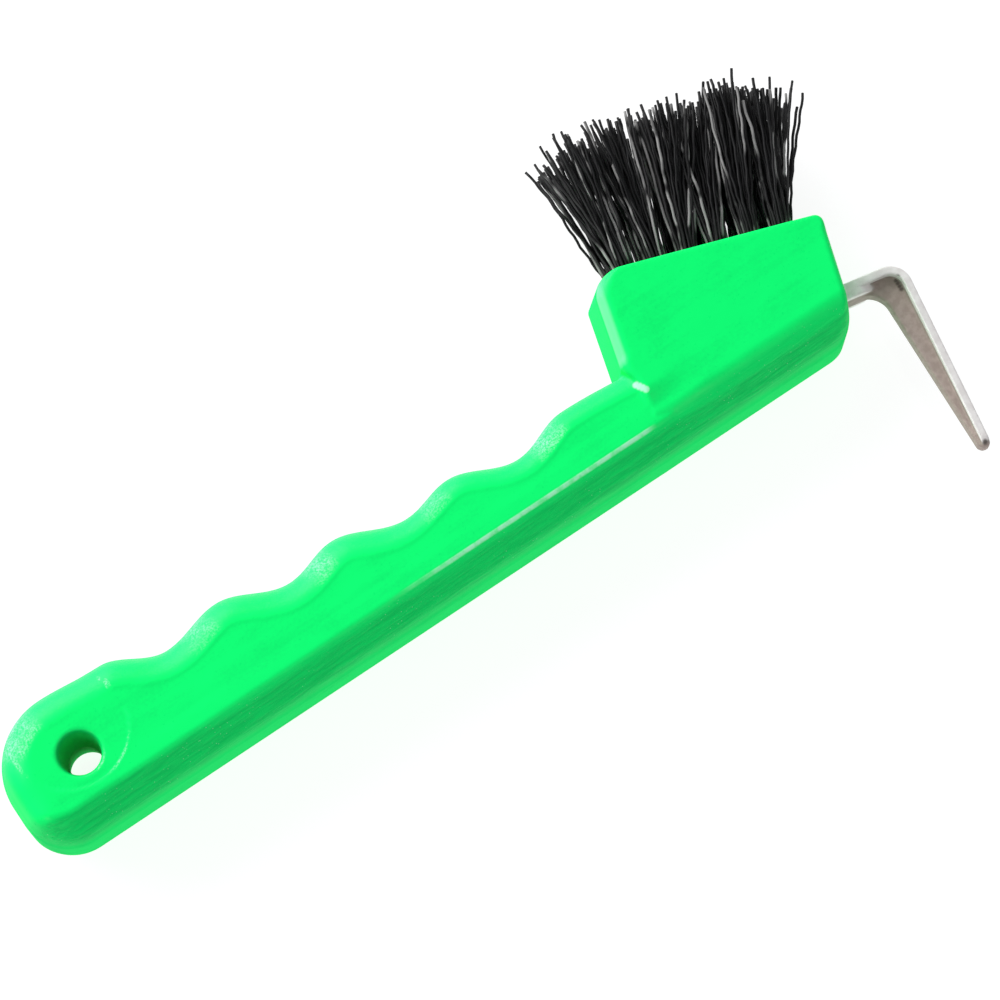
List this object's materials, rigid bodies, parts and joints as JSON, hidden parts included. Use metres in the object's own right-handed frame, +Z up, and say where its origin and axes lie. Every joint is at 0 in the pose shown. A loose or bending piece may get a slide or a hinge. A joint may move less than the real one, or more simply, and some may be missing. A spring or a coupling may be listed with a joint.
{
  "type": "hoof pick with brush",
  "caption": "Hand tool for cleaning a horse's hooves: a moulded handle with finger grooves and a hang hole, an angled steel pick blade and a stiff bristle brush.",
  "frame": {"origin": "centre of the bounding box on the surface the tool lies on", "axes": "+X along the handle from the hang hole end to the hook, +Y from the spine to the bristle tips, +Z up through the thickness, with the tool lying on its side"},
  "size_m": [0.1834, 0.0874, 0.022],
  "materials": {
    "handle_plastic": "vivid green moulded polypropylene, satin to semi-gloss, with fine mould and draw marks",
    "plated_steel": "dull zinc or nickel plating on a cast steel hook, slightly grainy",
    "bristle": "black stiff synthetic filaments with a slight sheen",
    "anchor_wire": "bright flat steel wire"
  },
  "bodies": {
    "root": {"handle": "handle_plastic", "pick_hook": "plated_steel", "bristle_tuft_1_1": "bristle", "bristle_tuft_1_2": "bristle", "bristle_tuft_1_3": "bristle", "bristle_tuft_1_4": "bristle", "bristle_tuft_1_5": "bristle", "bristle_tuft_1_6": "bristle", "bristle_tuft_2_1": "bristle", "bristle_tuft_2_2": "bristle", "bristle_tuft_2_3": "bristle", "bristle_tuft_2_4": "bristle", "bristle_tuft_2_5": "bristle", "bristle_tuft_2_6": "bristle", "bristle_tuft_3_1": "bristle", "bristle_tuft_3_2": "bristle", "bristle_tuft_3_3": "bristle", "bristle_tuft_3_4": "bristle", "bristle_tuft_3_5": "bristle", "bristle_tuft_3_6": "bristle", "tuft_anchor_1_1": "anchor_wire", "tuft_anchor_1_2": "anchor_wire", "tuft_anchor_1_3": "anchor_wire", "tuft_anchor_1_4": "anchor_wire", "tuft_anchor_1_5": "anchor_wire", "tuft_anchor_1_6": "anchor_wire", "tuft_anchor_2_1": "anchor_wire", "tuft_anchor_2_2": "anchor_wire", "tuft_anchor_2_3": "anchor_wire", "tuft_anchor_2_4": "anchor_wire", "tuft_anchor_2_5": "anchor_wire", "tuft_anchor_2_6": "anchor_wire", "tuft_anchor_3_1": "anchor_wire", "tuft_anchor_3_2": "anchor_wire", "tuft_anchor_3_3": "anchor_wire", "tuft_anchor_3_4": "anchor_wire", "tuft_anchor_3_5": "anchor_wire", "tuft_anchor_3_6": "anchor_wire"}
  },
  "joints": []
}
